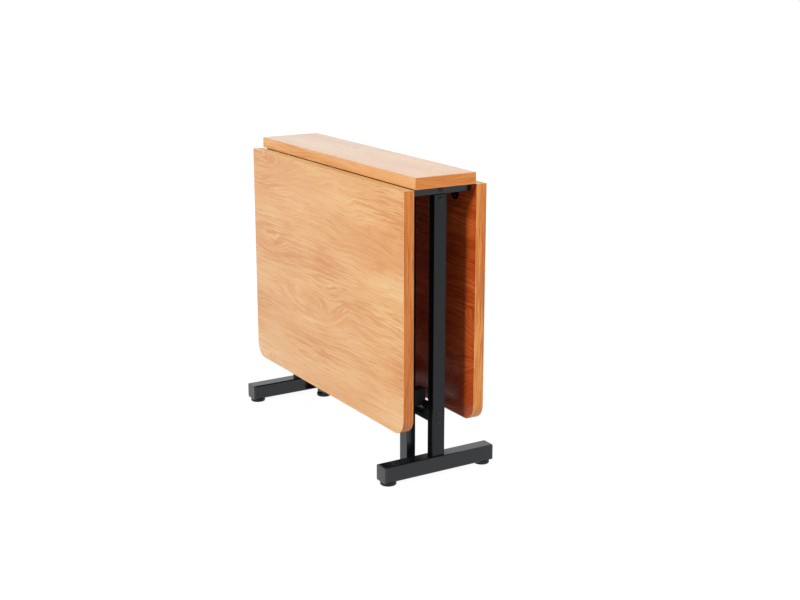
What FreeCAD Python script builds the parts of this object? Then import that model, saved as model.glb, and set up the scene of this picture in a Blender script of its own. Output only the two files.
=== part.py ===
import FreeCAD
import Part
import Sketcher
import os

# Butterfly folding table, shown folded: a narrow centre top on two T-shaped end
# frames and a low stretcher, two leaves that hang from butt hinges, and two
# gates that swing out on upright pivot tubes to carry the raised leaves.
#
# Frame: X runs along the hinge lines, -Y is the front leaf, Z is up from the
# floor, and the origin is the middle of the footprint.  The table looks the
# same after half a turn about Z, so each front piece is drawn once and the
# rear one is the same piece turned by 180 degrees.

SIZES = (
    # boards
    ("TableHeight", 750.0, "floor to the top surface"),
    ("TopLength", 796.0, "length of the centre top and of both leaves"),
    ("CentreWidth", 168.0, "width of the centre top"),
    ("BoardThick", 28.0, "thickness of all three boards"),
    ("EdgeBand", 1.0, "thickness of the edge banding"),
    ("EdgeRound", 0.6, "rounding of the banding's outer edges"),
    ("LeafWidth", 595.0, "leaf from its hinged edge to its free edge"),
    ("LeafCorner", 40.0, "corner radius at a leaf's free edge"),
    ("LeafOpenGap", 0.7, "joint between the boards when a leaf is up"),
    # hinges
    ("HingeSpacing", 306.0, "middle hinge to each outer hinge"),
    ("HingeWide", 31.0, "hinge width along the pin"),
    ("HingePlate", 1.2, "hinge plate thickness"),
    ("HingeTopReach", 23.4, "pin to the end of the plate under the top"),
    ("HingeLeafReach", 50.0, "pin to the end of the plate on the leaf"),
    ("HingeTopRound", 5.0, "corner radius of the plate under the top"),
    ("HingeLeafRound", 15.0, "corner radius of the plate on the leaf"),
    ("KnuckleDia", 3.2, "knuckle outside diameter"),
    ("KnuckleFit", 0.1, "knuckle to the two boards that it lies against"),
    ("PinOut", 1.4, "hinge pin outside the centre top's long side"),
    ("TopPlateGap", 0.2, "hinge's top plate to the edge of the raised leaf"),
    ("KnuckleSplit", 8.0, "length of each outer knuckle"),
    ("KnuckleGap", 0.2, "end play between knuckles"),
    ("HingePinDia", 1.8, "hinge pin diameter"),
    ("RecessClear", 0.5, "clearance round the knuckles and sunk screw heads"),
    ("RunFit", 0.05, "radial clearance of every turning fit"),
    ("HingeScrewPitch", 17.0, "between the two screws of a plate"),
    ("HingeTopScrewIn", 15.0, "pin to the screws under the top"),
    ("HingeLeafScrewIn", 18.0, "pin to the upper screws on the leaf"),
    ("HingeTipScrewIn", 39.0, "pin to the single screw at the plate's tip"),
    # screws and bolts
    ("ScrewFit", 0.1, "radial clearance of every screw and bolt"),
    ("WoodScrewDia", 3.5, "wood screw shank"),
    ("WoodScrewLong", 15.0, "wood screw under the head"),
    ("WoodScrewHead", 7.0, "wood screw head diameter"),
    ("WoodScrewHigh", 1.4, "wood screw head height"),
    ("RailScrewDia", 4.5, "rail screw shank"),
    ("RailScrewLong", 20.0, "rail screw under the head"),
    ("RailScrewHead", 9.0, "rail screw head diameter"),
    ("RailScrewHigh", 3.0, "rail screw head height"),
    ("PlateScrewDia", 4.0, "sheet metal screw shank"),
    ("PlateScrewLong", 12.0, "sheet metal screw under the head"),
    ("PlateScrewHead", 8.0, "sheet metal screw head diameter"),
    ("PlateScrewHigh", 2.4, "sheet metal screw head height"),
    ("BoltDia", 6.0, "button head bolt shank"),
    ("BoltHead", 12.5, "button head diameter"),
    ("BoltHigh", 3.3, "button head height"),
    ("BoltSocket", 4.0, "hexagon socket across flats"),
    ("BoltSocketDeep", 2.0, "hexagon socket depth"),
    ("BoltSpacing", 23.0, "between the two bolts of a pair"),
    ("BoltPast", 1.0, "bolt end beyond the joining plate"),
    # end frames
    ("FrameInset", 34.4, "end of the centre top to the middle of its end frame"),
    ("FrameHingeGap", 2.0, "least gap from an end frame to the outer hinges"),
    ("TubeWall", 1.5, "wall of posts, rails, stretcher and gates"),
    ("TubeRound", 2.5, "outside corner radius of those tubes"),
    ("PlugFit", 0.1, "clearance of a plastic plug in its tube"),
    ("FootBarSide", 40.0, "foot bar section"),
    ("FootBarWall", 2.0, "foot bar wall"),
    ("FootBarRound", 4.0, "foot bar outside corner radius"),
    ("FootBarLength", 316.0, "foot bar over its end caps"),
    ("FootCapThick", 6.0, "visible part of a foot bar's end cap"),
    ("FootCapPlug", 8.0, "end cap inside the foot bar"),
    ("GlideDia", 40.0, "floor glide diameter"),
    ("GlideHigh", 9.5, "floor glide height"),
    ("GlideRound", 2.0, "rounding of a glide's edges"),
    ("GlideInset", 21.0, "foot bar end to its glide's centre"),
    ("GlideStud", 8.0, "glide stud diameter"),
    ("GlideStudLong", 14.0, "glide stud above the glide"),
    ("PostDepth", 25.0, "post and top rail along X"),
    ("PostWide", 35.0, "post along Y"),
    ("RailHigh", 20.0, "top rail height"),
    ("RailPostGap", 1.0, "shadow gap between post and top rail"),
    ("RailCapThick", 2.7, "visible part of a top rail's end cap"),
    ("RailCapPlug", 10.0, "end cap inside the top rail"),
    ("RailClear", 0.3, "top rail's end cap to the edge of a leaf on its way up"),
    ("RailScrewY", 50.0, "rail screws from the table's middle"),
    ("RailAccess", 11.0, "hole that lets the screw head into the rail"),
    ("JoinThick", 4.0, "joining plate thickness"),
    ("JoinWide", 24.0, "joining plate width"),
    ("JoinMargin", 9.0, "joining plate beyond its bolts"),
    # stretcher
    ("StretcherWide", 25.0, "stretcher along Y"),
    ("StretcherHigh", 35.0, "stretcher height"),
    ("StretcherBottom", 132.0, "underside of the stretcher"),
    ("StretcherPlug", 20.0, "threaded end plug length"),
    ("StretcherBolt", 44.0, "stretcher bolt under the head"),
    # gates
    ("PivotInset", 73.6, "pivot tube from the end frame that it stands beside"),
    ("LegInset", 57.6, "parked free leg from the end frame that it stands beside"),
    ("GateTube", 25.0, "gate tubes along Y, and gate rail height"),
    ("GateLegWide", 35.0, "free leg along X"),
    ("GateClear", 10.0, "top of the gate to the underside of the top"),
    ("GatePad", 4.0, "thickness of the pad on the free leg"),
    ("LowRailGap", 5.0, "gate's low rail to the bracket above it"),
    ("GatePlug", 12.0, "plugs inside the gate tubes"),
    ("GateOpenAngle", 70.0, "swing at which the free leg carries the leaf"),
    ("PivotTube", 25.0, "pivot tube diameter"),
    ("PivotTail", 2.0, "pivot tube below the low rail"),
    ("PivotCope", 3.0, "coped rail ends from the pivot axis"),
    ("CopeFit", 0.1, "coped rail ends to the pivot tube's wall"),
    ("PivotPin", 10.0, "upper pivot pin diameter"),
    ("PivotPinLong", 25.0, "upper pivot pin length"),
    ("PivotPlate", 3.0, "upper pivot plate thickness"),
    ("PivotPlateLong", 60.0, "upper pivot plate along X"),
    ("PivotPlateWide", 30.0, "upper pivot plate along Y"),
    ("PivotPlateGap", 0.5, "upper pivot plate to the hinge plates beside it"),
    ("PivotScrewPitch", 44.0, "between the screws of a pivot plate"),
    ("PivotCapThick", 2.5, "collar of the plug on the pivot tube"),
    ("PivotPlugLong", 24.0, "upper pivot plug inside the tube"),
    ("BushWall", 1.8, "lower pivot bush wall"),
    ("BushFlange", 2.0, "lower pivot bush flange thickness"),
    ("BracketHigh", 18.0, "lower pivot bracket arm height"),
    ("BracketRaise", 4.0, "bracket above the stretcher's underside"),
    ("BracketRound", 17.0, "half width of the bracket's arm"),
    ("BracketBack", 4.0, "bracket back plate thickness"),
    ("BracketBackHigh", 25.0, "bracket back plate height"),
    ("BracketBackHalf", 29.0, "half length of the bracket's back plate"),
    ("BracketScrewPitch", 46.0, "between the bracket's screws"),
    ("CollarHigh", 12.0, "collar that carries the gate on its bush"),
    ("CollarWall", 4.5, "collar wall"),
    ("CollarGap", 0.3, "collar above the bush flange"),
    # gate catches
    ("CatchHigh", 41.0, "catch above the stretcher"),
    ("CatchLong", 28.0, "catch along X"),
    ("CatchInner", 2.0, "catch's inner face from the table's middle"),
    ("CatchGap", 0.3, "catch to the parked free leg"),
    ("CatchTab", 14.0, "fixing tab beyond the catch"),
    ("CatchTabThick", 4.0, "fixing tab thickness"),
    ("CatchTabWide", 20.0, "fixing tab across the stretcher"),
    ("MagnetDia", 18.0, "catch magnet diameter"),
    ("MagnetDeep", 4.0, "catch magnet thickness"),
    ("CatchRound", 3.0, "rounding of the catch's corners"),
    # leaf rests
    ("RestLong", 60.0, "leaf rest along X"),
    ("RestWide", 40.0, "leaf rest across"),
    ("RestGap", 0.3, "leaf rest to the pad that carries it"),
    ("RestLip", 6.0, "width of the stop lip"),
    ("RestLipHigh", 6.0, "height of the stop lip"),
    ("RestScrewPitch", 30.0, "between the leaf rest's screws"),
    ("RestScrewDeep", 5.0, "leaf rest left under the screw heads"),
    ("RestEdge", 10.0, "least board between a leaf rest and the free edge"),
)

PLACES = (
    # levels and faces that several pieces share
    ("SlabUnder", "Sizes.TableHeight - Sizes.BoardThick"),
    ("SlabHalf", "Sizes.CentreWidth / 2"),
    ("PinOffset", "Sizes.KnuckleDia / 2 + Sizes.KnuckleFit"),
    ("PinLine", "SlabHalf + Sizes.PinOut"),
    ("LeafInner", "PinLine + PinOffset"),
    ("LeafMiddle", "LeafInner + Sizes.BoardThick / 2"),
    ("PinHigh", "SlabUnder - PinOffset"),
    ("LeafTop", "PinHigh + Sizes.PinOut - Sizes.LeafOpenGap"),
    ("TopPlateEdge", "Sizes.PinOut - Sizes.LeafOpenGap + Sizes.TopPlateGap"),
    ("KnuckleClear", "Sizes.KnuckleDia / 2 + Sizes.RecessClear"),
    ("FrameByTop", "Sizes.TopLength / 2 - Sizes.FrameInset"),
    ("HingeEnd", "Sizes.HingeSpacing + Sizes.HingeWide / 2"),
    ("FrameByHinge", "HingeEnd + Sizes.FrameHingeGap + Sizes.PostDepth / 2"),
    ("EndFrameX", "max(FrameByTop; FrameByHinge)"),
    ("FootBarMiddle", "Sizes.GlideHigh + Sizes.FootBarSide / 2"),
    ("FootBarTop", "Sizes.GlideHigh + Sizes.FootBarSide"),
    ("FootTubeHalf", "Sizes.FootBarLength / 2 - Sizes.FootCapThick"),
    ("GlideY", "Sizes.FootBarLength / 2 - Sizes.GlideInset"),
    ("PostInner", "EndFrameX - Sizes.PostDepth / 2"),
    ("PostOuter", "EndFrameX + Sizes.PostDepth / 2"),
    ("RailMiddle", "SlabUnder - Sizes.RailHigh / 2"),
    ("PostTop", "SlabUnder - Sizes.RailHigh - Sizes.RailPostGap"),
    ("RailEnd", "SlabHalf + Sizes.LeafOpenGap - Sizes.RailClear"),
    ("RailHalf", "RailEnd - Sizes.RailCapThick"),
    ("PostBoltHigh", "RailMiddle - Sizes.BoltSpacing"),
    ("RailBoltLong", "Sizes.PostDepth + Sizes.JoinThick + Sizes.BoltPast"),
    ("StretcherMiddle", "Sizes.StretcherBottom + Sizes.StretcherHigh / 2"),
    ("StretcherTop", "Sizes.StretcherBottom + Sizes.StretcherHigh"),
    ("StretcherSide", "Sizes.StretcherWide / 2"),
    ("BracketBottom", "Sizes.StretcherBottom + Sizes.BracketRaise"),
    ("BracketTop", "BracketBottom + Sizes.BracketHigh"),
    ("BracketScrewHigh", "BracketBottom + Sizes.BracketBackHigh / 2"),
    ("PivotRadius", "Sizes.PivotTube / 2"),
    ("BushInner", "PivotRadius + Sizes.RunFit"),
    ("BushOuter", "BushInner + Sizes.BushWall"),
    ("CollarBottom", "BracketTop + Sizes.BushFlange + Sizes.CollarGap"),
    ("GateTop", "SlabUnder - Sizes.GateClear - Sizes.GatePad"),
    ("HingePlateEnd", "PinLine - Sizes.HingeTopReach"),
    ("GateLine", "HingePlateEnd - Sizes.PivotPlateGap - Sizes.PivotPlateWide / 2"),
    ("GateLowRail", "BracketBottom - Sizes.LowRailGap - Sizes.GateTube"),
    ("GatePivotX", "EndFrameX - Sizes.PivotInset"),
    ("GateLegX", "EndFrameX - Sizes.LegInset"),
    ("GateLegInner", "GateLegX - Sizes.GateLegWide / 2"),
    ("GateRailEnd", "Sizes.PivotCope - GatePivotX"),
    ("GateRailMiddle", "(GateLegInner + GateRailEnd) / 2"),
    ("GateArm", "GatePivotX + GateLegX"),
    ("GateInner", "GateLine - Sizes.GateTube / 2"),
    ("CatchOuter", "GateInner - Sizes.CatchGap"),
    ("CatchScrewX", "Sizes.CatchLong / 2 + Sizes.CatchTab / 2"),
    ("RestThick", "Sizes.GateClear - Sizes.RestGap"),
    ("RestByAngle", "GateLine + GateArm * sin(Sizes.GateOpenAngle * 1deg) - PinLine"),
    ("RestByLeaf", "Sizes.LeafWidth - Sizes.RestWide / 2 - Sizes.RestEdge"),
    ("RestReach", "min(RestByAngle; RestByLeaf)"),
    ("RestOut", "RestReach + PinLine - GateLine"),
    ("RestX", "sqrt(GateArm ^ 2 - RestOut ^ 2) - GatePivotX"),
    ("RestHigh", "PinHigh - RestReach"),
    ("WoodPilot", "Sizes.WoodScrewDia / 2 + Sizes.ScrewFit"),
    ("RailPilot", "Sizes.RailScrewDia / 2 + Sizes.ScrewFit"),
    ("PlatePilot", "Sizes.PlateScrewDia / 2 + Sizes.ScrewFit"),
    ("BoltHole", "Sizes.BoltDia / 2 + Sizes.ScrewFit"),
)

# shape of a screw head's profile, as shares of its height and radius
HEAD_SHOULDER = 0.35
HEAD_CROWN = 0.7
# a wood or sheet metal screw's cross recess, as shares of the same
CROSS_REACH = 0.52
CROSS_SLOT = 0.13
CROSS_DEEP = 0.7
# how far a hole runs past the faces it goes through
PAST = 1.0
# two points closer than this are the same, and a larger cosine means parallel
SAME_PLACE = 1e-4
PARALLEL = 0.999

HALF_TURN = {"front": False, "rear": True}
END_TURN = {"near": False, "far": True}
# lifts of sketches on the XZ plane, whose normal points to the front
INNER_FACE = "-Sizes.BoardThick / 2"
FRONT_SIDE = "Places.StretcherSide"
REAR_SIDE = "-Places.StretcherSide"
UP = FreeCAD.Vector(0, 0, 1)
ALONG = FreeCAD.Vector(1, 0, 0)

doc = FreeCAD.newDocument("ButterflyTable")
nodes = []


# ---------------------------------------------------------------- sheets

def fill_sheets():
    sizes = doc.addObject("Spreadsheet::Sheet", "Sizes")
    for row, (alias, number, note) in enumerate(SIZES, 1):
        sizes.set(f"A{row}", alias)
        sizes.set(f"B{row}", str(number))
        sizes.setAlias(f"B{row}", alias)
        sizes.set(f"C{row}", note)
    doc.recompute()
    places = doc.addObject("Spreadsheet::Sheet", "Places")
    for row, (alias, formula) in enumerate(PLACES, 1):
        places.set(f"A{row}", alias)
        places.set(f"B{row}", "=" + formula)
        places.setAlias(f"B{row}", alias)
        doc.recompute()


def value(expression):
    """A formula of the sheets as a plain number."""
    result = doc.Sizes.evalExpression(expression)
    return float(getattr(result, "Value", result))


# ---------------------------------------------------------------- drawing aids

def new_body(name):
    body = doc.addObject("PartDesign::Body", name)
    body.Label = name
    return body


def new_sketch(body, role, lift="0"):
    """An empty sketch on one of the body's own planes, lifted along its normal."""
    sketch = body.newObject("Sketcher::SketchObject", body.Name + "_sketch")
    plane = next(f for f in body.Origin.OriginFeatures if f.Role == role)
    sketch.AttachmentSupport = [(plane, "")]
    sketch.MapMode = "FlatFace"
    if lift != "0":
        sketch.setExpression("AttachmentOffset.Base.z", lift)
    return sketch


def bind(sketch, constraint, expression):
    index = sketch.addConstraint(constraint)
    sketch.setExpression(f"Constraints[{index}]", expression)


def add_loop(sketch, points, arcs=None):
    """A closed run of lines whose corners sit at pairs of formulas.

    arcs gives, for a point's index, the centre and radius of the quarter circle
    that leads from it to the next point in place of a line.
    """
    arcs = arcs or {}
    spots = [FreeCAD.Vector(value(u), value(v), 0) for u, v in points]
    first = sketch.GeometryCount
    count = len(spots)
    for i, spot in enumerate(spots):
        following = spots[(i + 1) % count]
        if i in arcs:
            sketch.addGeometry(quarter_arc(spot, following, *arcs[i]))
        else:
            sketch.addGeometry(Part.LineSegment(spot, following))
    for i, (u, v) in enumerate(points):
        line = first + i
        following = first + (i + 1) % count
        sketch.addConstraint(Sketcher.Constraint("Coincident", line, 2, following, 1))
        bind(sketch, Sketcher.Constraint("DistanceX", -1, 1, line, 1, spots[i].x), u)
        bind(sketch, Sketcher.Constraint("DistanceY", -1, 1, line, 1, spots[i].y), v)
        if i in arcs:
            radius = arcs[i][2]
            bind(sketch, Sketcher.Constraint("Radius", line, value(radius)), radius)


def quarter_arc(start, end, centre_u, centre_v, radius):
    centre = FreeCAD.Vector(value(centre_u), value(centre_v), 0)
    out = (start + end) / 2 - centre
    half_way = centre + out.normalize() * value(radius)
    return Part.Arc(start, half_way, end)


def add_circle(sketch, u, v, radius):
    centre = FreeCAD.Vector(value(u), value(v), 0)
    index = sketch.addGeometry(Part.Circle(centre, UP, value(radius)))
    bind(sketch, Sketcher.Constraint("Radius", index, value(radius)), radius)
    bind(sketch, Sketcher.Constraint("DistanceX", -1, 1, index, 3, centre.x), u)
    bind(sketch, Sketcher.Constraint("DistanceY", -1, 1, index, 3, centre.y), v)


def box_points(half_u, half_v):
    """Corners of a rectangle about the origin."""
    return [(f"-({half_u})", f"-({half_v})"), (f"{half_u}", f"-({half_v})"),
            (f"{half_u}", f"{half_v}"), (f"-({half_u})", f"{half_v}")]


def span_points(low_u, high_u, low_v, high_v):
    """Corners of a rectangle between four formulas."""
    return [(low_u, low_v), (high_u, low_v), (high_u, high_v), (low_u, high_v)]


def pad(body, sketch, length, both=True):
    feature = body.newObject("PartDesign::Pad", body.Name + "_pad")
    feature.Profile = sketch
    feature.SideType = "Symmetric" if both else "One side"
    feature.setExpression("Length", length)
    doc.recompute()
    return feature


def pocket(body, sketch, length):
    """A cut of the given length, half of it on each side of the sketch."""
    before = body.Shape.Volume
    feature = body.newObject("PartDesign::Pocket", body.Name + "_pocket")
    feature.Profile = sketch
    feature.SideType = "Symmetric"
    feature.setExpression("Length", length)
    doc.recompute()
    if not body.Shape.Volume < before:
        raise RuntimeError(f"{body.Label}: a pocket cut nothing")
    return feature


def drill(body, role, holes, length, lift="0"):
    """Round holes of one depth, given as centre u, centre v and radius."""
    sketch = new_sketch(body, role, lift)
    for u, v, radius in holes:
        add_circle(sketch, u, v, radius)
    return pocket(body, sketch, length)


def round_edges(body, radius, wanted):
    """Fillet the edges of the finished body that the test picks."""
    tip = body.Tip
    names = [f"Edge{i}" for i, edge in enumerate(tip.Shape.Edges, 1) if wanted(edge)]
    feature = body.newObject("PartDesign::Fillet", body.Name + "_fillet")
    feature.Base = (tip, names)
    feature.setExpression("Radius", radius)
    doc.recompute()
    return feature


def round_rims(body, axis, radius):
    """Fillet the outer rims of the faces at both ends of an axis."""
    ends = [face for face in body.Tip.Shape.Faces if isinstance(face.Surface, Part.Plane)
            and abs(face.normalAt(0, 0).dot(axis)) > PARALLEL]
    rims = [edge for face in ends for edge in face.OuterWire.Edges]
    round_edges(body, radius, lambda edge: any(edge.isSame(rim) for rim in rims))


def round_top_rim(body, radius):
    """Fillet the rim of the highest face."""
    top = body.Shape.BoundBox.ZMax
    round_edges(body, radius, lambda edge: edge.BoundBox.ZMin > top - SAME_PLACE)


def runs_along(edge, direction):
    if not isinstance(edge.Curve, Part.Line):
        return False
    return abs(edge.tangentAt(edge.FirstParameter).dot(direction)) > PARALLEL


def middle(edge):
    return edge.BoundBox.Center


def place(thing, x="0", y="0", z="0", turned=False, tilt=None):
    """Bind an object's place; a turned one goes half a turn about Z with it."""
    rotation = tilt or FreeCAD.Rotation()
    if turned:
        rotation = FreeCAD.Rotation(UP, 180).multiply(rotation)
        x = f"-({x})"
        y = f"-({y})"
    thing.Placement = FreeCAD.Placement(FreeCAD.Vector(), rotation)
    for letter, expression in zip("xyz", (x, y, z)):
        thing.setExpression(f"Placement.Base.{letter}", expression)
    return thing


def keep(thing):
    """Mark an object as a finished sub-part."""
    nodes.append(thing)
    return thing


def keep_group(label, master, spots):
    """Several copies of one piece in one sub-part.

    Each spot is x, y, z, whether it is turned, and its tilt.
    """
    links = []
    for i, (x, y, z, turned, tilt) in enumerate(spots, 1):
        link = doc.addObject("App::Link", f"{label}_{i}")
        link.setLink(master)
        links.append(place(link, x, y, z, turned, tilt))
    return keep_pieces(label, links)


def keep_pieces(label, pieces):
    """Separate pieces that share one sub-part."""
    group = doc.addObject("Part::Compound", label)
    group.Label = label
    group.Links = pieces
    return keep(group)


def turn_x(angle):
    return FreeCAD.Rotation(ALONG, angle)


def turn_y(angle):
    return FreeCAD.Rotation(FreeCAD.Vector(0, 1, 0), angle)


# ---------------------------------------------------------------- common pieces

def square_tube(name, role, half_u, half_v, wall, radius, length, lift="0", both=True):
    """A square or oblong tube with rounded outside corners."""
    body = new_body(name)
    sketch = new_sketch(body, role, lift)
    add_loop(sketch, box_points(half_u, half_v))
    add_loop(sketch, box_points(f"{half_u} - {wall}", f"{half_v} - {wall}"))
    pad(body, sketch, length, both)
    axis = {"XY_Plane": UP, "XZ_Plane": FreeCAD.Vector(0, 1, 0), "YZ_Plane": ALONG}[role]
    box = body.Shape.BoundBox

    def outside_corner(edge):
        if not runs_along(edge, axis):
            return False
        off = middle(edge) - box.Center
        off = off - axis * off.dot(axis)
        return abs(off.Length - reach) < SAME_PLACE

    reach = (value(half_u) ** 2 + value(half_v) ** 2) ** 0.5
    round_edges(body, radius, outside_corner)
    return body


def tube_plug(name, half_u, half_v, wall, radius, head, depth):
    """A plug for a tube whose end face is local z = 0: head above, plug below."""
    body = new_body(name)
    if head:
        sketch = new_sketch(body, "XY_Plane")
        add_loop(sketch, box_points(half_u, half_v))
        pad(body, sketch, head, both=False)
        round_edges(body, radius, lambda edge: runs_along(edge, UP))
    sketch = new_sketch(body, "XY_Plane", f"-({depth})")
    inside = f"{wall} - Sizes.PlugFit"
    add_loop(sketch, box_points(f"{half_u} - {inside}", f"{half_v} - {inside}"))
    pad(body, sketch, depth, both=False)
    return body


def screw(name, kind, long=None, socket=False):
    """A screw whose head sits on local z = 0 with its shank pointing down."""
    shank = f"Sizes.{kind}Dia / 2"
    head = f"Sizes.{kind}Head / 2"
    high = f"Sizes.{kind}High"
    long = long or f"Sizes.{kind}Long"
    body = new_body(name)
    sketch = new_sketch(body, "XZ_Plane")
    add_loop(sketch, [
        ("0", f"-({long})"), (shank, f"-({long})"), (shank, "0"), (head, "0"),
        (head, f"{high} * {HEAD_SHOULDER}"), (f"{head} * {HEAD_CROWN}", high), ("0", high)])
    turned = body.newObject("PartDesign::Revolution", name + "_turned")
    turned.Profile = sketch
    turned.ReferenceAxis = (sketch, ["V_Axis"])
    turned.Angle = 360
    doc.recompute()
    sketch = new_sketch(body, "XY_Plane", high)
    if socket:
        flat = "Sizes.BoltSocket / 2"
        corner = "Sizes.BoltSocket / sqrt(3)"
        half = f"{corner} / 2"
        add_loop(sketch, [(corner, "0"), (half, flat), (f"-({half})", flat),
                          (f"-({corner})", "0"), (f"-({half})", f"-({flat})"),
                          (half, f"-({flat})")])
        pocket(body, sketch, "2 * Sizes.BoltSocketDeep")
    else:
        arm = f"{head} * {CROSS_REACH}"
        slot = f"{head} * {CROSS_SLOT}"
        quarter = [(arm, f"-({slot})"), (arm, slot), (slot, slot)]
        add_loop(sketch, [corner for turns in range(4)
                          for corner in (quarter_turned(spot, turns) for spot in quarter)])
        pocket(body, sketch, f"2 * {high} * {CROSS_DEEP}")
    return body


def quarter_turned(spot, turns):
    """A pair of formulas after that many quarter turns about the origin."""
    u, v = spot
    for _ in range(turns):
        u, v = f"-({v})", u
    return u, v


# ---------------------------------------------------------------- places of screws

def hinge_stations():
    return ("-Sizes.HingeSpacing", "0", "Sizes.HingeSpacing")


def hinge_top_screws(station):
    """Screws of one plate under the top, on the front side."""
    return [(f"{station} + {side} * Sizes.HingeScrewPitch / 2",
             "Sizes.HingeTopScrewIn - Places.PinLine") for side in (-1, 1)]


def hinge_leaf_screws(station):
    """Screws of one plate on the leaf, as x and height."""
    pair = [(f"{station} + {side} * Sizes.HingeScrewPitch / 2",
             "Places.PinHigh - Sizes.HingeLeafScrewIn") for side in (-1, 1)]
    return pair + [(station, "Places.PinHigh - Sizes.HingeTipScrewIn")]


def pivot_plate_screws():
    return [(f"{side} * Sizes.PivotScrewPitch / 2 - Places.GatePivotX", "-Places.GateLine")
            for side in (-1, 1)]


def rest_screws():
    return [(f"Places.RestX + {side} * Sizes.RestScrewPitch / 2", "Places.RestHigh")
            for side in (-1, 1)]


def bracket_screws():
    return [(f"{side} * Sizes.BracketScrewPitch / 2 - Places.GatePivotX",
             "Places.BracketScrewHigh") for side in (-1, 1)]


def catch_screws():
    return [f"Places.GateLegX + {side} * Places.CatchScrewX" for side in (-1, 1)]


def both_sides(spots):
    """The front spots and the same after half a turn, as x, y pairs."""
    return list(spots) + [(f"-({x})", f"-({y})") for x, y in spots]


# ---------------------------------------------------------------- boards

def centre_top():
    half_x = "Sizes.TopLength / 2"
    half_y = "Places.SlabHalf"
    core_x = f"{half_x} - Sizes.EdgeBand"
    core_y = f"{half_y} - Sizes.EdgeBand"

    core = new_body("centre_top")
    sketch = new_sketch(core, "XY_Plane")
    add_loop(sketch, box_points(core_x, core_y))
    pad(core, sketch, "Sizes.BoardThick", both=False)
    light = [spot for station in hinge_stations() for spot in hinge_top_screws(station)]
    light += pivot_plate_screws()
    holes = [(x, y, "Places.WoodPilot") for x, y in both_sides(light)]
    drill(core, "XY_Plane", holes, "2 * Sizes.WoodScrewLong")
    heavy = [("Places.EndFrameX", "Sizes.RailScrewY"), ("Places.EndFrameX", "-Sizes.RailScrewY")]
    holes = [(x, y, "Places.RailPilot") for x, y in both_sides(heavy)]
    drill(core, "XY_Plane", holes, "2 * Sizes.RailScrewLong")
    keep(place(core, z="Places.SlabUnder"))

    band = new_body("centre_top_edge_band")
    sketch = new_sketch(band, "XY_Plane")
    add_loop(sketch, box_points(half_x, half_y))
    add_loop(sketch, box_points(core_x, core_y))
    pad(band, sketch, "Sizes.BoardThick", both=False)
    round_rims(band, UP, "Sizes.EdgeRound")
    keep(place(band, z="Places.SlabUnder"))


def leaf_loop(sketch, inset):
    """The leaf's outline with its hinged edge at local z = 0."""
    side = f"Sizes.TopLength / 2 - {inset}"
    top = f"-({inset})"
    free = f"{inset} - Sizes.LeafWidth"
    radius = f"Sizes.LeafCorner - {inset}"
    curve_x = "Sizes.TopLength / 2 - Sizes.LeafCorner"
    curve_z = "Sizes.LeafCorner - Sizes.LeafWidth"
    add_loop(
        sketch,
        [(f"-({side})", top), (f"-({side})", curve_z), (f"-({curve_x})", free),
         (curve_x, free), (side, curve_z), (side, top)],
        {1: (f"-({curve_x})", curve_z, radius), 3: (curve_x, curve_z, radius)})


def leaf(side):
    turned = HALF_TURN[side]
    spot = {"y": "-Places.LeafMiddle", "z": "Places.LeafTop", "turned": turned}

    panel = new_body(f"{side}_leaf_panel")
    sketch = new_sketch(panel, "XZ_Plane")
    leaf_loop(sketch, "Sizes.EdgeBand")
    pad(panel, sketch, "Sizes.BoardThick")
    screws = [s for station in hinge_stations() for s in hinge_leaf_screws(station)]
    screws += rest_screws()
    holes = [(x, f"{z} - Places.LeafTop", "Places.WoodPilot") for x, z in screws]
    drill(panel, "XZ_Plane", holes, "2 * Sizes.WoodScrewLong", INNER_FACE)
    keep(place(panel, **spot))

    band = new_body(f"{side}_leaf_edge_band")
    sketch = new_sketch(band, "XZ_Plane")
    leaf_loop(sketch, "0")
    leaf_loop(sketch, "Sizes.EdgeBand")
    pad(band, sketch, "Sizes.BoardThick")
    round_rims(band, FreeCAD.Vector(0, 1, 0), "Sizes.EdgeRound")
    keep(place(band, **spot))


# ---------------------------------------------------------------- hinges

def hinge_half(name, side, edge, reach, radius, gaps, screws):
    """Half a hinge with its pin along local X and its plate pointing down.

    side is 1 where the board is in front of the plate and -1 where it is
    behind.  The plate runs from edge to reach below the pin.  gaps gives the
    middle and the length of each stretch that the other half's knuckles take,
    and screws the holes in the plate.
    """
    half = "Sizes.HingeWide / 2"
    lift = f"{side} * (Places.PinOffset - Sizes.HingePlate / 2)"
    body = new_body(name)
    sketch = new_sketch(body, "XZ_Plane", lift)
    add_loop(
        sketch,
        [(f"-({half})", f"-({edge})"), (f"-({half})", f"{radius} - {reach}"),
         (f"{radius} - {half}", f"-({reach})"), (f"{half} - {radius}", f"-({reach})"),
         (half, f"{radius} - {reach}"), (half, f"-({edge})")],
        {1: (f"{radius} - {half}", f"{radius} - {reach}", radius),
         3: (f"{half} - {radius}", f"{radius} - {reach}", radius)})
    pad(body, sketch, "Sizes.HingePlate")
    sketch = new_sketch(body, "YZ_Plane")
    add_circle(sketch, "0", "0", "Sizes.KnuckleDia / 2")
    pad(body, sketch, "Sizes.HingeWide")
    for gap_middle, gap_long in gaps:
        drill(body, "YZ_Plane", [("0", "0", "Places.KnuckleClear")], gap_long, gap_middle)
    bore = [("0", "0", "Sizes.HingePinDia / 2 + Sizes.RunFit")]
    drill(body, "YZ_Plane", bore, f"Sizes.HingeWide + {PAST}")
    holes = [(x, z, "Places.WoodPilot") for x, z in screws]
    drill(body, "XZ_Plane", holes, f"Sizes.HingePlate + {PAST}", lift)
    return body


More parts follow.
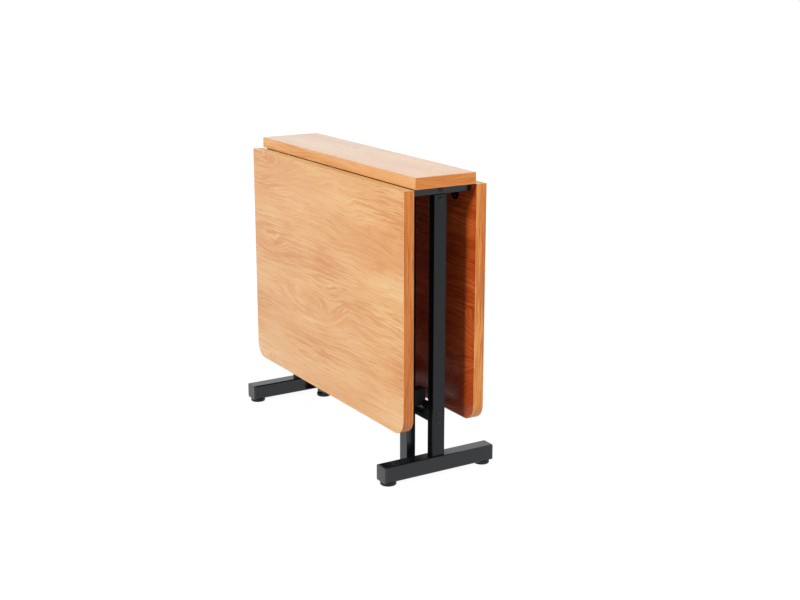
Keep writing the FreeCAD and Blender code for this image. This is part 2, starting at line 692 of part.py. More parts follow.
def hinges():
    middle_gap = "Sizes.HingeWide - 2 * Sizes.KnuckleSplit"
    outer_gap = "Sizes.KnuckleSplit + Sizes.KnuckleGap"
    outer_middle = f"Sizes.HingeWide / 2 - ({outer_gap}) / 2"
    pitch = "Sizes.HingeScrewPitch / 2"
    top_half = hinge_half(
        "hinge_top_half", -1, "Places.TopPlateEdge", "Sizes.HingeTopReach",
        "Sizes.HingeTopRound", [("0", middle_gap)],
        [(f"{side} * {pitch}", "-Sizes.HingeTopScrewIn") for side in (-1, 1)])
    leaf_half = hinge_half(
        "hinge_leaf_half", 1, "0", "Sizes.HingeLeafReach", "Sizes.HingeLeafRound",
        [(f"{side} * ({outer_middle})", outer_gap) for side in (-1, 1)],
        [(f"{side} * {pitch}", "-Sizes.HingeLeafScrewIn") for side in (-1, 1)]
        + [("0", "-Sizes.HingeTipScrewIn")])
    wood_screw = screw("wood_screw", "WoodScrew")
    pin = doc.addObject("Part::Cylinder", "hinge_pin")
    pin.setExpression("Radius", "Sizes.HingePinDia / 2")
    pin.setExpression("Height", "Sizes.HingeWide")
    pin_y = "-Places.PinLine"
    pin_spots = []
    for side, turned in HALF_TURN.items():
        at_pin = [(x, pin_y, "Places.PinHigh", turned) for x in hinge_stations()]
        keep_group(f"{side}_hinge_top_plates", top_half,
                   [spot + (turn_x(90),) for spot in at_pin])
        keep_group(f"{side}_hinge_leaf_plates", leaf_half, [spot + (None,) for spot in at_pin])
        face = "Places.LeafInner - Sizes.HingePlate"
        keep_group(f"{side}_hinge_leaf_screws", wood_screw,
                   [(x, f"-({face})", z, turned, turn_x(-90))
                    for station in hinge_stations() for x, z in hinge_leaf_screws(station)])
        pin_spots += [(f"{x} - Sizes.HingeWide / 2", pin_y, "Places.PinHigh", turned, turn_y(90))
                      for x in hinge_stations()]
    keep_group("hinge_pins", pin, pin_spots)
    under = "Places.SlabUnder - Sizes.HingePlate"
    keep_group("hinge_top_screws", wood_screw,
               [(x, y, under, turned, turn_x(180))
                for turned in (False, True)
                for station in hinge_stations() for x, y in hinge_top_screws(station)])
    return wood_screw


# ---------------------------------------------------------------- end frames

def foot_bars():
    half = "Sizes.FootBarSide / 2"
    section = (half, half, "Sizes.FootBarWall", "Sizes.FootBarRound")
    for side, turned in END_TURN.items():
        bar = square_tube(f"{side}_foot_bar", "XZ_Plane", *section, "2 * Places.FootTubeHalf")
        studs = [("0", f"{end} * Places.GlideY", "Sizes.GlideStud / 2 + Sizes.ScrewFit")
                 for end in (-1, 1)]
        drill(bar, "XY_Plane", studs, f"2 * Sizes.FootBarWall + {PAST}", f"-({half})")
        keep(place(bar, "Places.EndFrameX", "0", "Places.FootBarMiddle", turned))
    cap = tube_plug("foot_cap", *section, "Sizes.FootCapThick", "Sizes.FootCapPlug")
    round_top_rim(cap, "Sizes.EdgeRound")
    keep_group("foot_end_caps", cap,
               [("Places.EndFrameX", f"{end} * Places.FootTubeHalf", "Places.FootBarMiddle",
                 turned, turn_x(-90 * end))
                for turned in (False, True) for end in (-1, 1)])
    glide = disc_foot("foot_glide", "Sizes.GlideStud / 2", "Sizes.GlideStudLong")
    keep_group("foot_glides", glide,
               [("Places.EndFrameX", f"{end} * Places.GlideY", "0", turned, None)
                for turned in (False, True) for end in (-1, 1)])


def disc_foot(name, stud_radius, stud_long):
    """A round floor glide with an upright stud, standing on local z = 0."""
    radius = "Sizes.GlideDia / 2"
    body = new_body(name)
    sketch = new_sketch(body, "XY_Plane")
    add_circle(sketch, "0", "0", radius)
    pad(body, sketch, "Sizes.GlideHigh", both=False)
    round_rims(body, UP, "Sizes.GlideRound")
    if stud_radius:
        sketch = new_sketch(body, "XY_Plane", "Sizes.GlideHigh")
        add_circle(sketch, "0", "0", stud_radius)
        pad(body, sketch, stud_long, both=False)
    return body


def posts_and_rails():
    for side, turned in END_TURN.items():
        post = square_tube(
            f"{side}_post", "XY_Plane", "Sizes.PostDepth / 2", "Sizes.PostWide / 2",
            "Sizes.TubeWall", "Sizes.TubeRound", "Places.PostTop - Places.FootBarTop",
            "Places.FootBarTop", both=False)
        bolts = [("0", z, "Places.BoltHole") for z in stretcher_bolt_levels()]
        bolts.append(("0", "Places.PostBoltHigh", "Places.BoltHole"))
        drill(post, "YZ_Plane", bolts, f"Sizes.PostDepth + {PAST}")
        keep(place(post, "Places.EndFrameX", turned=turned))

        rail = square_tube(
            f"{side}_top_rail", "XZ_Plane", "Sizes.PostDepth / 2", "Sizes.RailHigh / 2",
            "Sizes.TubeWall", "Sizes.TubeRound", "2 * Places.RailHalf")
        drill(rail, "YZ_Plane", [("0", "0", "Places.BoltHole")], f"Sizes.PostDepth + {PAST}")
        seats = [("0", f"{end} * Sizes.RailScrewY", "Places.RailPilot") for end in (-1, 1)]
        drill(rail, "XY_Plane", seats, f"Sizes.RailHigh + {PAST}")
        wide = [("0", f"{end} * Sizes.RailScrewY", "Sizes.RailAccess / 2") for end in (-1, 1)]
        drill(rail, "XY_Plane", wide, f"2 * Sizes.TubeWall + {PAST}", "-Sizes.RailHigh / 2")
        keep(place(rail, "Places.EndFrameX", "0", "Places.RailMiddle", turned))
    cap = tube_plug(
        "rail_cap", "Sizes.PostDepth / 2", "Sizes.RailHigh / 2", "Sizes.TubeWall",
        "Sizes.TubeRound", "Sizes.RailCapThick", "Sizes.RailCapPlug")
    round_top_rim(cap, "Sizes.EdgeRound")
    keep_group("rail_end_caps", cap,
               [("Places.EndFrameX", f"{end} * Places.RailHalf", "Places.RailMiddle",
                 turned, turn_x(-90 * end))
                for turned in (False, True) for end in (-1, 1)])
    rail_screw = screw("rail_screw", "RailScrew")
    keep_group("rail_screws", rail_screw,
               [("Places.EndFrameX", f"{end} * Sizes.RailScrewY",
                 "Places.SlabUnder - Sizes.TubeWall", turned, turn_x(180))
                for turned in (False, True) for end in (-1, 1)])


def stretcher_bolt_levels():
    return [f"Places.StretcherMiddle + {side} * Sizes.BoltSpacing / 2" for side in (-1, 1)]


def rail_bolt_levels():
    return ["Places.RailMiddle", "Places.PostBoltHigh"]


def joining_plates():
    plate = new_body("joining_plate")
    sketch = new_sketch(plate, "YZ_Plane")
    half = "Sizes.JoinWide / 2"
    add_loop(sketch, span_points(f"-({half})", half, "Places.PostBoltHigh - Sizes.JoinMargin",
                                 "Places.RailMiddle + Sizes.JoinMargin"))
    pad(plate, sketch, "Sizes.JoinThick")
    drill(plate, "YZ_Plane", [("0", z, "Places.BoltHole") for z in rail_bolt_levels()],
          f"Sizes.JoinThick + {PAST}")
    keep_group("joining_plates", plate,
               [("Places.PostInner - Sizes.JoinThick / 2", "0", "0", turned, None)
                for turned in (False, True)])
    bolt = screw("rail_bolt", "Bolt", "Places.RailBoltLong", socket=True)
    keep_group("rail_bolts", bolt,
               [("Places.PostOuter", "0", z, turned, turn_y(90))
                for turned in (False, True) for z in rail_bolt_levels()])


# ---------------------------------------------------------------- stretcher

def stretcher():
    beam = square_tube(
        "stretcher", "YZ_Plane", "Sizes.StretcherWide / 2", "Sizes.StretcherHigh / 2",
        "Sizes.TubeWall", "Sizes.TubeRound", "2 * Places.PostInner")
    for face, sign in ((FRONT_SIDE, 1), (REAR_SIDE, -1)):
        holes = [(f"{sign} * ({x})", f"{z} - Places.StretcherMiddle", "Places.PlatePilot")
                 for x, z in bracket_screws()]
        drill(beam, "XZ_Plane", holes, f"2 * Sizes.TubeWall + {PAST}", face)
    holes = [(f"{sign} * ({x})", "0", "Places.PlatePilot")
             for sign in (1, -1) for x in catch_screws()]
    drill(beam, "XY_Plane", holes, f"2 * Sizes.TubeWall + {PAST}", "Sizes.StretcherHigh / 2")
    keep(place(beam, z="Places.StretcherMiddle"))

    plug = tube_plug(
        "stretcher_plug", "Sizes.StretcherHigh / 2", "Sizes.StretcherWide / 2",
        "Sizes.TubeWall", None, None, "Sizes.StretcherPlug")
    bolts = [(f"{side} * Sizes.BoltSpacing / 2", "0", "Places.BoltHole") for side in (-1, 1)]
    drill(plug, "XY_Plane", bolts, f"2 * Sizes.StretcherPlug + {PAST}")
    keep_group("stretcher_end_plugs", plug,
               [("Places.PostInner", "0", "Places.StretcherMiddle", turned, turn_y(90))
                for turned in (False, True)])
    bolt = screw("stretcher_bolt", "Bolt", "Sizes.StretcherBolt", socket=True)
    keep_group("stretcher_bolts", bolt,
               [("Places.PostOuter", "0", z, turned, turn_y(90))
                for turned in (False, True) for z in stretcher_bolt_levels()])


# ---------------------------------------------------------------- gates

def ring(name, outer, inner, lift, length):
    """An upright ring or tube; inner is None for a solid disc."""
    body = new_body(name)
    sketch = new_sketch(body, "XY_Plane", lift)
    add_circle(sketch, "0", "0", outer)
    if inner:
        add_circle(sketch, "0", "0", inner)
    pad(body, sketch, length, both=False)
    return body


def gate(side):
    turned = HALF_TURN[side]
    tube_half = "Sizes.GateTube / 2"
    wall = ("Sizes.TubeWall", "Sizes.TubeRound")
    leg_section = ("Sizes.GateLegWide / 2", tube_half) + wall
    leg_spot = ("Places.GateLegX", "-Places.GateLine")
    pivot_spot = ("-Places.GatePivotX", "-Places.GateLine")

    leg = square_tube(f"{side}_gate_leg", "XY_Plane", *leg_section,
                      "Places.GateTop - Sizes.GlideHigh", "Sizes.GlideHigh", both=False)
    keep(place(leg, *leg_spot, turned=turned))

    rails = (("top_rail", f"Places.GateTop - {tube_half}"),
             ("low_rail", f"Places.GateLowRail + {tube_half}"))
    for name, high in rails:
        rail = square_tube(f"{side}_gate_{name}", "YZ_Plane", tube_half, tube_half, *wall,
                           "Places.GateLegInner - Places.GateRailEnd")
        axis = "-Places.GatePivotX - Places.GateRailMiddle"
        cope = [(axis, "0", "Places.PivotRadius + Sizes.CopeFit")]
        drill(rail, "XY_Plane", cope, f"Sizes.GateTube + {PAST}")
        keep(place(rail, "Places.GateRailMiddle", "-Places.GateLine", high, turned))

    bottom = "Places.GateLowRail - Sizes.PivotTail"
    inner = "Places.PivotRadius - Sizes.TubeWall"
    tube = ring(f"{side}_gate_pivot_tube", "Places.PivotRadius", inner, bottom,
                f"Places.GateTop - ({bottom})")
    keep(place(tube, *pivot_spot, turned=turned))

    pad_body = tube_plug(f"{side}_gate_top_pad", *leg_section, "Sizes.GatePad",
                         "Sizes.GatePlug")
    round_top_rim(pad_body, "Sizes.EdgeRound")
    keep(place(pad_body, *leg_spot, "Places.GateTop", turned))

    glide = disc_foot(f"{side}_gate_glide", None, None)
    sketch = new_sketch(glide, "XY_Plane", "Sizes.GlideHigh")
    fit = "Sizes.TubeWall - Sizes.PlugFit"
    add_loop(sketch, box_points(f"Sizes.GateLegWide / 2 - {fit}", f"{tube_half} - {fit}"))
    pad(glide, sketch, "Sizes.GatePlug", both=False)
    keep(place(glide, *leg_spot, turned=turned))

    sleeve = f"{inner} - Sizes.PlugFit"
    top_plug = ring(f"{side}_pivot_top_plug", "Places.PivotRadius", None, "Places.GateTop",
                    "Sizes.PivotCapThick")
    sketch = new_sketch(top_plug, "XY_Plane", "Places.GateTop - Sizes.PivotPlugLong")
    add_circle(sketch, "0", "0", sleeve)
    pad(top_plug, sketch, "Sizes.PivotPlugLong", both=False)
    bore = [("0", "0", "Sizes.PivotPin / 2 + Sizes.RunFit")]
    drill(top_plug, "XY_Plane", bore, f"4 * Sizes.PivotPlugLong + {PAST}", "Places.GateTop")
    low_plug = ring(f"{side}_pivot_low_plug", "Places.PivotRadius", None,
                    f"{bottom} - Sizes.PivotCapThick", "Sizes.PivotCapThick")
    sketch = new_sketch(low_plug, "XY_Plane", bottom)
    add_circle(sketch, "0", "0", sleeve)
    pad(low_plug, sketch, "Sizes.GatePlug", both=False)
    keep_pieces(f"{side}_gate_pivot_plugs",
                [place(plug, *pivot_spot, turned=turned) for plug in (top_plug, low_plug)])

    collar = ring(f"{side}_gate_collar", "Places.PivotRadius + Sizes.CollarWall",
                  "Places.BushInner", "Places.CollarBottom", "Sizes.CollarHigh")
    keep(place(collar, *pivot_spot, turned=turned))


def gate_pivots(wood_screw, plate_screw):
    arm = "Sizes.BracketRound"
    arm_level = ("Places.BracketBottom", "Sizes.BracketHigh")
    back = "-(Places.StretcherSide + Sizes.BracketBack)"
    for side, turned in HALF_TURN.items():
        bracket = new_body(f"{side}_lower_pivot_bracket")
        sketch = new_sketch(bracket, "XY_Plane", arm_level[0])
        add_loop(sketch, span_points(f"-{arm}", arm, "-Places.GateLine", "-Places.StretcherSide"))
        pad(bracket, sketch, arm_level[1], both=False)
        sketch = new_sketch(bracket, "XY_Plane", arm_level[0])
        add_circle(sketch, "0", "-Places.GateLine", arm)
        pad(bracket, sketch, arm_level[1], both=False)
        sketch = new_sketch(bracket, "XY_Plane", arm_level[0])
        add_loop(sketch, span_points("-Sizes.BracketBackHalf", "Sizes.BracketBackHalf", back,
                                     "-Places.StretcherSide"))
        pad(bracket, sketch, "Sizes.BracketBackHigh", both=False)
        eye = [("0", "-Places.GateLine", "Places.BushOuter + Sizes.RunFit")]
        drill(bracket, "XY_Plane", eye, f"2 * Sizes.BracketHigh + {PAST}", "Places.BracketTop")
        holes = [(f"{end} * Sizes.BracketScrewPitch / 2", "Places.BracketScrewHigh",
                  "Places.PlatePilot") for end in (-1, 1)]
        drill(bracket, "XZ_Plane", holes, f"2 * Sizes.BracketBack + {PAST}",
              f"{FRONT_SIDE} + Sizes.BracketBack")
        keep(place(bracket, "-Places.GatePivotX", turned=turned))

        plate = new_body(f"{side}_upper_pivot_plate")
        level = "Places.SlabUnder - Sizes.PivotPlate"
        sketch = new_sketch(plate, "XY_Plane", level)
        add_loop(sketch, box_points("Sizes.PivotPlateLong / 2", "Sizes.PivotPlateWide / 2"))
        pad(plate, sketch, "Sizes.PivotPlate", both=False)
        sketch = new_sketch(plate, "XY_Plane", f"{level} - Sizes.PivotPinLong")
        add_circle(sketch, "0", "0", "Sizes.PivotPin / 2")
        pad(plate, sketch, "Sizes.PivotPinLong", both=False)
        holes = [(f"{end} * Sizes.PivotScrewPitch / 2", "0", "Places.WoodPilot")
                 for end in (-1, 1)]
        drill(plate, "XY_Plane", holes, f"2 * Sizes.PivotPlate + {PAST}", level)
        keep(place(plate, "-Places.GatePivotX", "-Places.GateLine", turned=turned))

    bush = ring("pivot_bush", "Places.BushOuter", "Places.BushInner", *arm_level)
    sketch = new_sketch(bush, "XY_Plane", "Places.BracketTop")
    add_circle(sketch, "0", "0", arm)
    add_circle(sketch, "0", "0", "Places.BushInner")
    pad(bush, sketch, "Sizes.BushFlange", both=False)
    keep_group("lower_pivot_bushes", bush,
               [("-Places.GatePivotX", "-Places.GateLine", "0", turned, None)
                for turned in (False, True)])
    keep_group("pivot_plate_screws", wood_screw,
               [(x, y, "Places.SlabUnder - Sizes.PivotPlate", turned, turn_x(180))
                for turned in (False, True) for x, y in pivot_plate_screws()])
    keep_group("bracket_screws", plate_screw,
               [(x, back, z, turned, turn_x(90))
                for turned in (False, True) for x, z in bracket_screws()])


def gate_catches(plate_screw):
    half = "Sizes.CatchLong / 2"
    for side, turned in HALF_TURN.items():
        catch = new_body(f"{side}_gate_catch")
        sketch = new_sketch(catch, "XY_Plane")
        add_loop(sketch, span_points(f"-({half})", half, "-Places.CatchOuter",
                                     "-Sizes.CatchInner"))
        pad(catch, sketch, "Sizes.CatchHigh", both=False)
        round_edges(catch, "Sizes.CatchRound", lambda edge: runs_along(edge, UP))
        round_top_rim(catch, "Sizes.EdgeRound")
        sketch = new_sketch(catch, "XY_Plane")
        reach = f"{half} + Sizes.CatchTab"
        add_loop(sketch, box_points(reach, "Sizes.CatchTabWide / 2"))
        pad(catch, sketch, "Sizes.CatchTabThick", both=False)
        holes = [(f"{end} * Places.CatchScrewX", "0", "Places.PlatePilot") for end in (-1, 1)]
        drill(catch, "XY_Plane", holes, f"2 * Sizes.CatchTabThick + {PAST}")
        seat = [("0", "Sizes.CatchHigh / 2", "Sizes.MagnetDia / 2 + Sizes.RunFit")]
        drill(catch, "XZ_Plane", seat, "2 * Sizes.MagnetDeep", "Places.CatchOuter")
        keep(place(catch, "Places.GateLegX", "0", "Places.StretcherTop", turned))
    magnet = ring("catch_magnet", "Sizes.MagnetDia / 2", None, "0", "Sizes.MagnetDeep")
    keep_group("gate_catch_magnets", magnet,
               [("Places.GateLegX", "Sizes.MagnetDeep - Places.CatchOuter",
                 "Places.StretcherTop + Sizes.CatchHigh / 2", turned, turn_x(90))
                for turned in (False, True)])
    keep_group("gate_catch_screws", plate_screw,
               [(x, "0", "Places.StretcherTop + Sizes.CatchTabThick", turned, None)
                for turned in (False, True) for x in catch_screws()])


def leaf_rests(wood_screw):
    half = "Sizes.RestLong / 2"
    wide = "Sizes.RestWide / 2"
    for side, turned in HALF_TURN.items():
        rest = new_body(f"{side}_leaf_rest")
        sketch = new_sketch(rest, "XZ_Plane", "-Places.RestThick / 2")
        add_loop(sketch, box_points(half, wide))
        pad(rest, sketch, "Places.RestThick")
        lip = "-(Places.RestThick + Sizes.RestLipHigh / 2)"
        sketch = new_sketch(rest, "XZ_Plane", lip)
        add_loop(sketch, span_points(f"-({half})", f"Sizes.RestLip - {half}", f"-({wide})", wide))
        pad(rest, sketch, "Sizes.RestLipHigh")
        spots = [(f"{end} * Sizes.RestScrewPitch / 2", "0") for end in (-1, 1)]
        holes = [spot + ("Places.WoodPilot",) for spot in spots]
        drill(rest, "XZ_Plane", holes, f"4 * Places.RestThick + {PAST}")
        sinks = [spot + ("Sizes.WoodScrewHead / 2 + Sizes.RecessClear",) for spot in spots]
        drill(rest, "XZ_Plane", sinks, "2 * (Places.RestThick - Sizes.RestScrewDeep)",
              "-Places.RestThick")
        keep(place(rest, "Places.RestX", "-Places.LeafInner", "Places.RestHigh", turned))
        keep_group(f"{side}_leaf_rest_screws", wood_screw,
                   [(x, "Sizes.RestScrewDeep - Places.LeafInner", z, turned, turn_x(-90))
                    for x, z in rest_screws()])


# ---------------------------------------------------------------- build

def check_and_write():
    doc.recompute()
    failed = [thing.Name for thing in doc.Objects
              if "Invalid" in thing.State or "Error" in thing.State]
    if failed:
        raise RuntimeError("failed objects: " + ", ".join(failed))
    for node in nodes:
        if node.Shape.isNull() or not node.Shape.isValid() or not node.Shape.Solids:
            raise RuntimeError(node.Label + " has no valid solid")
    os.makedirs("parts", exist_ok=True)
    for node in nodes:
        node.Shape.exportStep(f"parts/{node.Label}.step")


def main():
    fill_sheets()
    centre_top()
    for side in HALF_TURN:
        leaf(side)
        gate(side)
    wood_screw = hinges()
    foot_bars()
    posts_and_rails()
    joining_plates()
    plate_screw = screw("plate_screw", "PlateScrew")
    stretcher()
    gate_pivots(wood_screw, plate_screw)
    gate_catches(plate_screw)
    leaf_rests(wood_screw)
    check_and_write()


main()
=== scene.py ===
import math

import bpy
from mathutils import Matrix, Vector

# Looks for the butterfly folding table: oak-effect boards on a satin black
# steel frame.  Metres, Z up, X along the hinge lines and -Y the front leaf.

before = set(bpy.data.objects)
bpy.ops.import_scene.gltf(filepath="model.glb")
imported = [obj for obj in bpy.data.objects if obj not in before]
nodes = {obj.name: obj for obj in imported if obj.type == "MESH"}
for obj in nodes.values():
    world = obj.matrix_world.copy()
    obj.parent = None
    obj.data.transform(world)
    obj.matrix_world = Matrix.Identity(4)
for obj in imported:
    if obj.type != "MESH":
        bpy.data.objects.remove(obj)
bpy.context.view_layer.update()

# ---------------------------------------------------------------- camera

CAMERA_SPOT = Vector((2.9581, -1.6916, 1.2602))
CAMERA_AZIMUTH = 58.54
CAMERA_ELEVATION = 14.79
CAMERA_ROLL = 0.06
CAMERA_LENS = 60.15
SENSOR_WIDTH = 36.0


def direction(azimuth, elevation):
    """Unit vector towards a viewpoint; azimuth 0 is the front, 90 the right."""
    turn, lift = math.radians(azimuth), math.radians(elevation)
    return Vector((math.sin(turn) * math.cos(lift), -math.cos(turn) * math.cos(lift),
                   math.sin(lift)))


def add_camera():
    data = bpy.data.cameras.new("camera")
    data.sensor_fit = "HORIZONTAL"
    data.sensor_width = SENSOR_WIDTH
    data.lens = CAMERA_LENS
    camera = bpy.data.objects.new("camera", data)
    back = direction(CAMERA_AZIMUTH, CAMERA_ELEVATION)
    turn = math.radians(CAMERA_AZIMUTH)
    right = Vector((math.cos(turn), math.sin(turn), 0))
    axes = Matrix((right, back.cross(right), back)).transposed()
    roll = Matrix.Rotation(math.radians(CAMERA_ROLL), 3, "Z")
    camera.matrix_world = Matrix.Translation(CAMERA_SPOT) @ (axes @ roll).to_4x4()
    bpy.context.scene.collection.objects.link(camera)
    bpy.context.scene.camera = camera


# ---------------------------------------------------------------- node trees

# The Mix node's sockets for colours, which share their names with those for numbers.
MIX_SHARE, MIX_FIRST, MIX_SECOND, MIX_RESULT = 0, 6, 7, 2


class Graph:
    """A node tree, with short calls that add its nodes and join them."""

    def __init__(self, tree):
        self.tree = tree

    def add(self, kind, inputs=None, **settings):
        node = self.tree.nodes.new(kind)
        for name, setting in settings.items():
            setattr(node, name, setting)
        for name, source in (inputs or {}).items():
            self.feed(node.inputs[name], source)
        return node

    def feed(self, socket, source):
        """Joins a socket to another node's output, or sets it to a plain value."""
        if isinstance(source, bpy.types.NodeSocket):
            self.tree.links.new(source, socket)
        else:
            socket.default_value = source

    def math(self, operation, *numbers):
        return self.add("ShaderNodeMath", dict(enumerate(numbers)), operation=operation).outputs[0]

    def spread(self, source, low, high, to_low=0.0, to_high=1.0):
        """Maps low..high to to_low..to_high, with nothing beyond."""
        return self.add("ShaderNodeMapRange", {
            "Value": source, "From Min": low, "From Max": high, "To Min": to_low,
            "To Max": to_high}).outputs["Result"]

    def vector(self, x, y, z):
        return self.add("ShaderNodeCombineXYZ", {"X": x, "Y": y, "Z": z}).outputs["Vector"]

    def axes(self, vector):
        return self.add("ShaderNodeSeparateXYZ", {"Vector": vector}).outputs

    def moved(self, vector, shift):
        return self.add("ShaderNodeVectorMath", {0: vector, 1: shift},
                        operation="ADD").outputs["Vector"]

    def stretched(self, vector, stretch):
        """The vector, with each axis multiplied."""
        return self.add("ShaderNodeVectorMath", {0: vector, 1: stretch},
                        operation="MULTIPLY").outputs["Vector"]

    def noise(self, vector, scale=1.0, detail=2.0, roughness=0.5):
        return self.add("ShaderNodeTexNoise", {
            "Vector": vector, "Scale": scale, "Detail": detail,
            "Roughness": roughness}).outputs["Fac"]

    def ramp(self, source, stops):
        node = self.add("ShaderNodeValToRGB", {"Fac": source})
        elements = node.color_ramp.elements
        while len(elements) < len(stops):
            elements.new(0.5)  # anywhere between the ends: the loop below places it
        for element, (place, colour) in zip(elements, stops):
            element.position = place
            element.color = (*colour, 1)
        return node.outputs["Color"]

    def blend(self, share, first, second):
        node = self.add("ShaderNodeMix", data_type="RGBA", clamp_factor=True)
        self.feed(node.inputs[MIX_SHARE], share)
        self.feed(node.inputs[MIX_FIRST], first)
        self.feed(node.inputs[MIX_SECOND], second)
        return node.outputs[MIX_RESULT]


class Look(Graph):
    """A material with one Principled shader; settings are that shader's plain values."""

    def __init__(self, name, **settings):
        self.material = bpy.data.materials.new(name)
        self.material.use_nodes = True
        super().__init__(self.material.node_tree)
        self.shader = self.tree.nodes["Principled BSDF"]
        for socket, setting in settings.items():
            self.shader.inputs[socket.replace("_", " ")].default_value = setting
        places = self.add("ShaderNodeTexCoord").outputs
        self.position = places["Object"]
        self.facing = places["Normal"]

    def colour(self, source):
        self.feed(self.shader.inputs["Base Color"], source)

    def roughness(self, source):
        self.feed(self.shader.inputs["Roughness"], source)

    def lacquer(self, source):
        self.feed(self.shader.inputs["Coat Weight"], source)

    def bump(self, height, strength, distance):
        node = self.add("ShaderNodeBump", {"Height": height, "Strength": strength,
                                           "Distance": distance})
        self.feed(self.shader.inputs["Normal"], node.outputs["Normal"])


# ---------------------------------------------------------------- wood figure

# How often each noise changes in a metre along the grain, across it and through the board.
FLOW_STRETCH = (3.4, 9.0, 5.0)
CATHEDRAL_STRETCH = (2.0, 5.6, 3.0)
WAVER_STRETCH = (28.0, 60.0, 20.0)
ZONE_STRETCH = (2.6, 8.0, 4.0)
BROAD_STRETCH = (1.8, 9.0, 44.0)
FIBRE_STRETCH = (34.0, 460.0, 420.0)
PORE_STRETCH = (90.0, 1500.0, 900.0)

# The part of each noise's range that counts, as (nothing, all).
CATHEDRAL_NOISE = (0.50, 0.68)
ZONE_NOISE = (0.36, 0.64)
BROAD_NOISE = (0.32, 0.68)
FIBRE_NOISE = (0.2, 0.8)
PORE_NOISE = (0.60, 0.74)
NOISE_MIDDLE = 0.5

# Growth lines are the places where a noise passes its middle.  They lie along the grain and
# are bent by the flow: a little in plain wood, much in a cathedral.
LINES_ACROSS = 150.0
LINES_ALONG = 5.0
LINE_BEND = (3.0, 20.0)
LINE_WAVER = 1.4
LINE_HALF_WIDTH = 0.11

# What each feature adds to the wood's darkness.
LEAST_DARKNESS = 0.09
BROAD_DARKNESS = 0.54
LINE_DARKNESS = 0.62
ZONE_STRENGTH = (0.35, 1.20)
FIBRE_DARKNESS = 0.70
PORE_DARKNESS = 0.10

FIBRE_HEIGHT = 0.5
RELIEF_STRENGTH = 0.25
RELIEF_DEPTH = 0.00008


def grain(look, along, across, deep, shift):
    """Oak figure from three coordinates in metres: broad tone, growth lines, fibres and pores."""
    place = look.moved(look.vector(along, across, deep), shift)
    flow = look.noise(look.stretched(place, FLOW_STRETCH), detail=1.0, roughness=0.4)
    cathedrals = look.noise(look.stretched(place, CATHEDRAL_STRETCH), detail=1.0)
    bend = look.spread(cathedrals, *CATHEDRAL_NOISE, *LINE_BEND)
    waver = look.noise(look.stretched(place, WAVER_STRETCH))
    phase = look.math("MULTIPLY", across, LINES_ACROSS)
    phase = look.math("ADD", phase, look.math("MULTIPLY", flow, bend))
    phase = look.math("ADD", phase, look.math("MULTIPLY", waver, LINE_WAVER))
    slow = look.math("MULTIPLY", along, LINES_ALONG)
    lines = look.noise(look.vector(slow, phase, deep), detail=1.0)
    from_line = look.math("ABSOLUTE", look.math("SUBTRACT", lines, NOISE_MIDDLE))
    zones = look.noise(look.stretched(place, ZONE_STRETCH))
    broad = look.noise(look.stretched(place, BROAD_STRETCH), roughness=0.45)
    fibres = look.noise(look.stretched(place, FIBRE_STRETCH), detail=3.0, roughness=0.6)
    pores = look.noise(look.stretched(place, PORE_STRETCH), detail=1.0)
    return {"lines": look.spread(from_line, 0.0, LINE_HALF_WIDTH, 1.0, 0.0),
            "zones": look.spread(zones, *ZONE_NOISE),
            "broad": look.spread(broad, *BROAD_NOISE),
            "fibres": fibres,
            "pores": look.spread(pores, *PORE_NOISE)}


def wood_tone(look, figure):
    """One number for the wood's darkness, 0 light to 1 dark."""
    strength = look.spread(figure["zones"], 0.0, 1.0, *ZONE_STRENGTH)
    tone = look.math("MULTIPLY", figure["lines"], look.math("MULTIPLY", strength, LINE_DARKNESS))
    broad = look.math("MULTIPLY_ADD", figure["broad"], BROAD_DARKNESS, LEAST_DARKNESS)
    tone = look.math("ADD", tone, broad)
    fibres = look.math("SUBTRACT", figure["fibres"], NOISE_MIDDLE)
    tone = look.math("ADD", tone, look.math("MULTIPLY", fibres, FIBRE_DARKNESS))
    return look.math("ADD", tone, look.math("MULTIPLY", figure["pores"], PORE_DARKNESS))


def wood_relief(look, figure):
    """Fine embossed grain: pores sink, fibres stand up a little."""
    fibres = look.math("MULTIPLY", figure["fibres"], FIBRE_HEIGHT)
    return look.math("SUBTRACT", fibres, figure["pores"])


# ---------------------------------------------------------------- boards and edge banding

# Wood colours as (darkness, colour), from light to dark.
FACE_STOPS = [(0.0, (0.895, 0.572, 0.250)), (0.25, (0.860, 0.476, 0.168)),
              (0.55, (0.800, 0.366, 0.090)), (1.0, (0.690, 0.235, 0.022))]
# Painted shade: the undersides, seen only in the dim gap between the leaves, take these deeper,
# redder colours.
UNDERSIDE_SHADE_STOPS = [(0.0, (0.800, 0.205, 0.054)), (0.25, (0.705, 0.145, 0.030)),
               (0.55, (0.560, 0.088, 0.013)), (1.0, (0.400, 0.050, 0.006))]
TOP_EDGE_STOPS = [(0.0, (0.930, 0.566, 0.226)), (0.30, (0.888, 0.485, 0.184)),
                  (1.0, (0.710, 0.302, 0.092))]
# Painted highlight: the leaves' long edges are lighter and yellower than the top's, standing in
# for the sheen along the leaves' top edge.
LEAF_EDGE_HIGHLIGHT_STOPS = [(0.0, (0.950, 0.700, 0.360)), (0.30, (0.920, 0.620, 0.280)),
                   (1.0, (0.740, 0.400, 0.150))]
# End ramps: on the short ends partly the strips' own deeper tone and partly painted shade; on
# downward faces painted shade only.
TOP_END_SHADE_STOPS = [(0.0, (0.860, 0.365, 0.094)), (0.30, (0.775, 0.272, 0.053)),
                 (1.0, (0.545, 0.140, 0.019))]
LEAF_END_SHADE_STOPS = [(0.0, (0.885, 0.410, 0.112)), (0.30, (0.810, 0.284, 0.050)),
                  (1.0, (0.545, 0.128, 0.010))]

